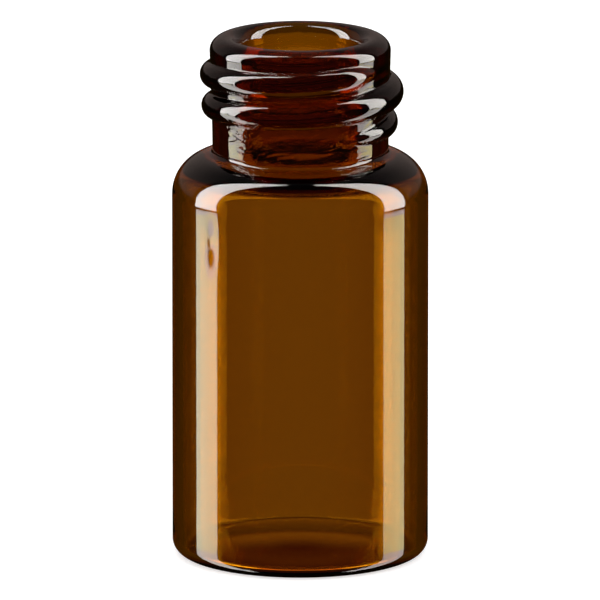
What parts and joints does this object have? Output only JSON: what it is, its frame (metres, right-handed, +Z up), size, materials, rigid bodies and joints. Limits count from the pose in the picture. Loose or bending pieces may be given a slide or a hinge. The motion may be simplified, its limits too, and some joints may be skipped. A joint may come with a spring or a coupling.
{
  "type": "glass sample vial",
  "caption": "Small round amber glass sample vial with a rounded shoulder, a short neck with an external screw thread and an open mouth.",
  "frame": {"origin": "centre of the circle that the base stands on", "axes": "+Z up the vial's axis to the mouth; -Y is the front, where the lower end of the thread starts"},
  "size_m": [0.022, 0.022, 0.0453],
  "materials": {
    "amber_glass": "clear amber-brown glass, fire-polished and glossy inside and out, with faint forming marks at the foot of the neck"
  },
  "bodies": {
    "root": {"vial": "amber_glass"}
  },
  "joints": []
}
